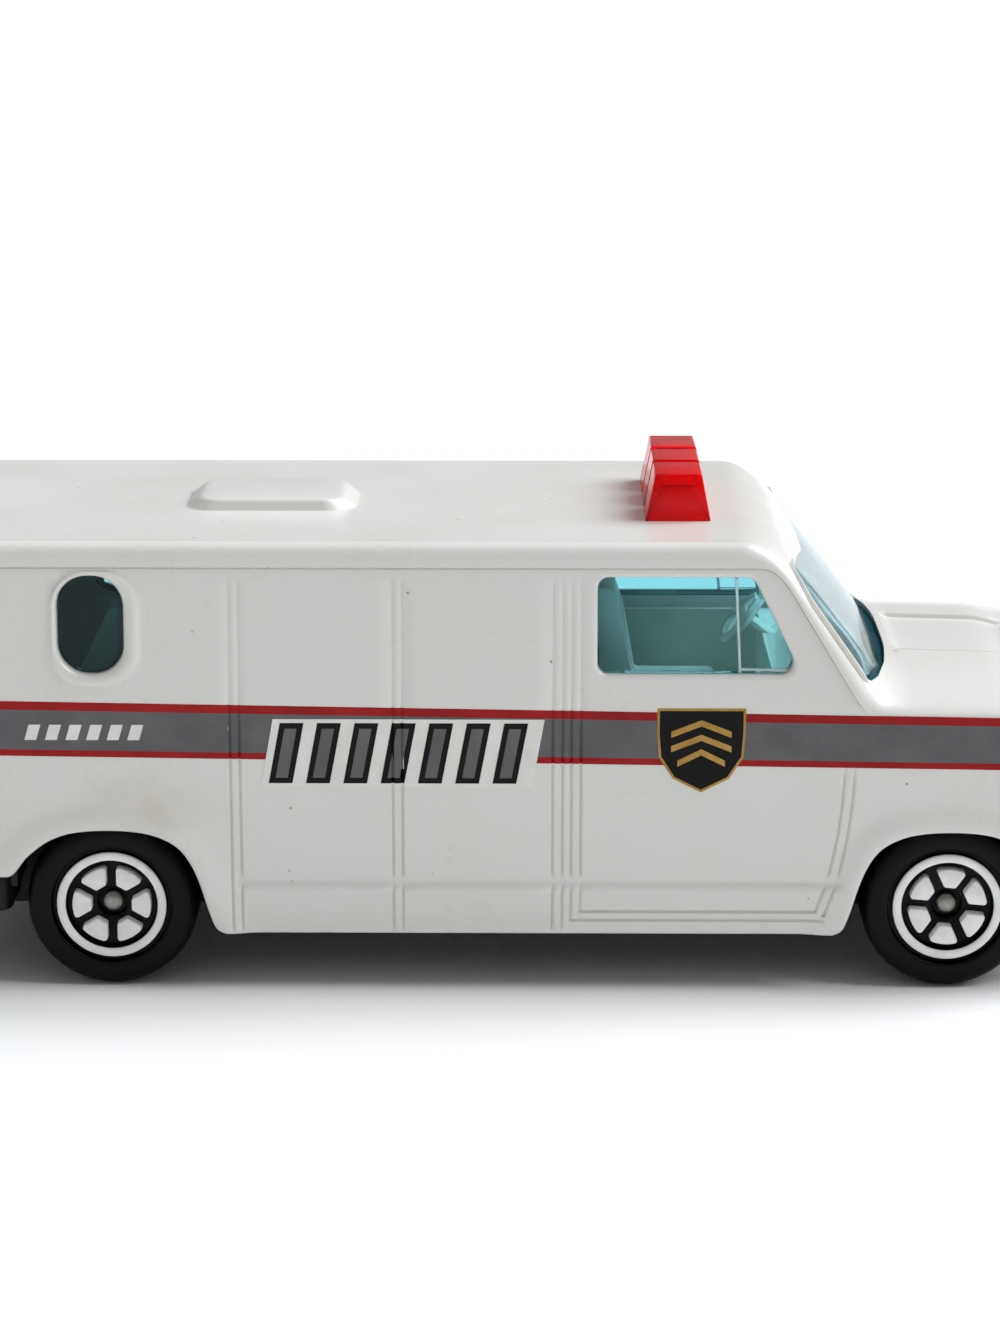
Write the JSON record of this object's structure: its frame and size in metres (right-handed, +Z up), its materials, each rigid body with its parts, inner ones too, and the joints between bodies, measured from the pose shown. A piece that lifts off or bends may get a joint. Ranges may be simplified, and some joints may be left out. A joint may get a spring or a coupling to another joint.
{
  "type": "diecast toy van",
  "caption": "Pocket diecast emergency van: white cast body on a black base, teal window insert, red roof lamps and free-rolling wheels on wire axles.",
  "frame": {"origin": "on the ground under the middle of the van", "axes": "+X towards the nose, +Y towards the van's left side, +Z up"},
  "size_m": [0.0776, 0.0278, 0.0324],
  "materials": {
    "white_enamel": "sprayed gloss enamel over a zinc casting, lightly worn",
    "black_plastic": "moulded satin plastic",
    "wheel_plastic": "moulded plastic with white printed ring and pads",
    "teal_clear": "clear tinted polystyrene",
    "red_clear": "clear red polystyrene",
    "pale_plastic": "moulded satin plastic",
    "silver_coat": "silver-coated plastic",
    "steel": "drawn wire with formed ends"
  },
  "bodies": {
    "vehicle": {"body_casting": "white_enamel", "base_plate": "black_plastic", "window_insert": "teal_clear", "interior": "pale_plastic", "light_bar": "red_clear", "grille": "silver_coat", "front_rivet": "steel", "rear_rivet": "steel", "front_axle": "steel", "rear_axle": "steel"},
    "wheel_front_left": {"wheel_front_left": "wheel_plastic"},
    "wheel_front_right": {"wheel_front_right": "wheel_plastic"},
    "wheel_rear_left": {"wheel_rear_left": "wheel_plastic"},
    "wheel_rear_right": {"wheel_rear_right": "wheel_plastic"}
  },
  "joints": [
    {"name": "wheel_front_left_turn", "type": "hinge", "parent": "vehicle", "child": "wheel_front_left", "pos_m": [0.0284, 0, 0.0055], "axis": [0, 1, 0], "continuous": true},
    {"name": "wheel_front_right_turn", "type": "hinge", "parent": "vehicle", "child": "wheel_front_right", "pos_m": [0.0284, 0, 0.0055], "axis": [0, 1, 0], "continuous": true},
    {"name": "wheel_rear_left_turn", "type": "hinge", "parent": "vehicle", "child": "wheel_rear_left", "pos_m": [-0.0252, 0, 0.0055], "axis": [0, 1, 0], "continuous": true},
    {"name": "wheel_rear_right_turn", "type": "hinge", "parent": "vehicle", "child": "wheel_rear_right", "pos_m": [-0.0252, 0, 0.0055], "axis": [0, 1, 0], "continuous": true}
  ]
}
